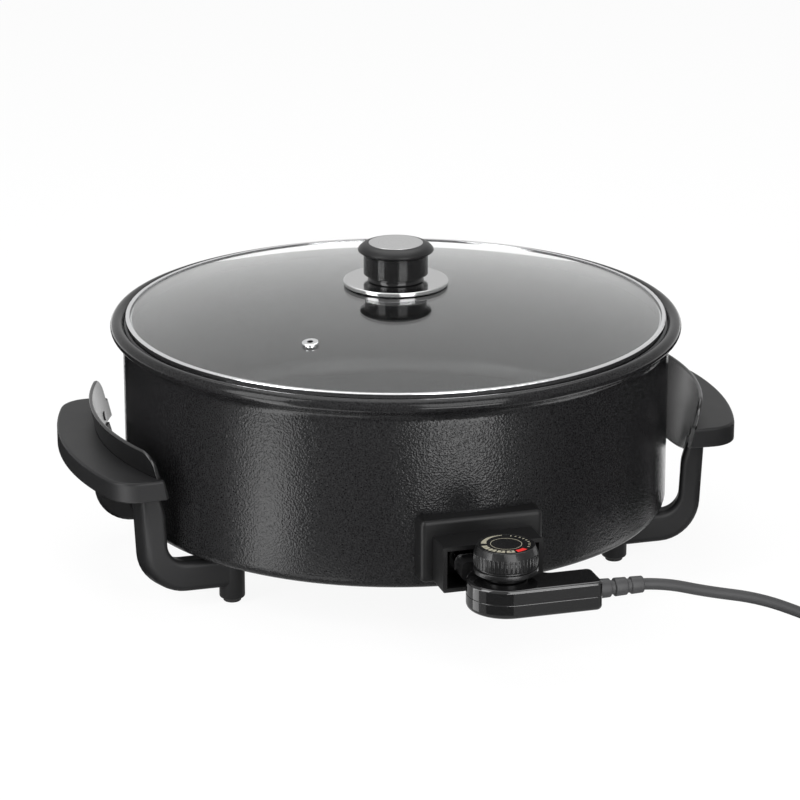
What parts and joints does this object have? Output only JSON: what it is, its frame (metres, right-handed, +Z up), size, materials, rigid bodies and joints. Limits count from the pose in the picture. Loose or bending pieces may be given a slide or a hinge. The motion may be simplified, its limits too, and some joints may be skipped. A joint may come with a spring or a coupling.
{
  "type": "electric paella pan",
  "caption": "Round electric paella pan: hammered black casing on handle legs, domed glass lid, heating element, and a plug-in thermostat control with a dial and mains cord.",
  "frame": {"origin": "on the floor, in the middle of the pan with its handles and control (the cord left out)", "axes": "+Z up along the pan's axis, front with the thermostat control towards -Y, handles at -X and +X"},
  "size_m": [0.6055, 0.506, 0.2352],
  "materials": {
    "hammered_casing": "black hammered paint",
    "nonstick": "dark non-stick coat",
    "element_steel": "dull grey sheath",
    "reflector": "bright sheet",
    "fastener_steel": "zinc plated",
    "ceramic": "glazed ceramic",
    "contact_brass": "nickel plated",
    "handle_plastic": "satin black moulding",
    "foot_rubber": "soft black",
    "shroud_plastic": "matt black moulding",
    "lid_glass": "clear tempered",
    "lid_steel": "polished",
    "knob_plastic": "satin black moulding",
    "knob_steel": "spun",
    "knob_rubber": "soft black",
    "control_plastic": "satin black moulding",
    "dial_print": "black with pale print",
    "switch_plastic": "moulded block",
    "cord_rubber": "matt black sheath",
    "tie_plastic": "black band"
  },
  "bodies": {
    "pan": {"outer_casing": "hammered_casing", "cooking_pan": "nonstick", "heating_element": "element_steel", "element_clips": "element_steel", "heat_reflector": "reflector", "center_stud": "fastener_steel", "stud_spacers": "fastener_steel", "center_nut": "fastener_steel", "terminal_bushes": "ceramic", "terminal_pins": "contact_brass", "probe_guide": "reflector", "connector_shroud": "shroud_plastic", "shroud_screws": "fastener_steel", "handle_leg_front_left": "handle_plastic", "handle_leg_rear_left": "handle_plastic", "handle_leg_front_right": "handle_plastic", "handle_leg_rear_right": "handle_plastic", "foot_front_left": "foot_rubber", "foot_rear_left": "foot_rubber", "foot_front_right": "foot_rubber", "foot_rear_right": "foot_rubber", "leg_screws": "fastener_steel", "handle_grip_left": "handle_plastic", "handle_grip_right": "handle_plastic", "heat_guard_left": "handle_plastic", "heat_guard_right": "handle_plastic", "guard_screws": "fastener_steel"},
    "lid": {"lid_glass": "lid_glass", "lid_ring": "lid_steel", "vent_eyelet": "lid_steel", "knob_gasket": "knob_rubber", "knob_plate": "lid_steel", "knob_body": "knob_plastic", "knob_insert": "knob_steel", "knob_washer": "fastener_steel", "knob_screw": "fastener_steel"},
    "control": {"control_lower_shell": "control_plastic", "control_upper_shell": "control_plastic", "control_nose": "control_plastic", "contact_sleeves": "contact_brass", "earth_strap": "fastener_steel", "control_probe": "fastener_steel", "thermostat_switch": "switch_plastic", "control_screws": "fastener_steel", "strain_relief": "cord_rubber", "power_cord": "cord_rubber", "cord_coil": "cord_rubber", "coil_tie": "tie_plastic", "plug_body": "cord_rubber", "plug_pins": "contact_brass"},
    "dial": {"dial_knob": "control_plastic", "dial_face": "dial_print", "dial_shaft": "fastener_steel"}
  },
  "joints": [
    {"name": "lid_lift", "type": "slide", "parent": "pan", "child": "lid", "axis": [0, 0, 1], "range_m": [0, 0.15]},
    {"name": "control_pull", "type": "slide", "parent": "pan", "child": "control", "axis": [0, -1, 0], "range_m": [0, 0.1]},
    {"name": "dial_turn", "type": "hinge", "parent": "control", "child": "dial", "pos_m": [-0.0015, -0.2255, 0.084], "axis": [0, 0, -1], "range_deg": [0, 270]}
  ]
}
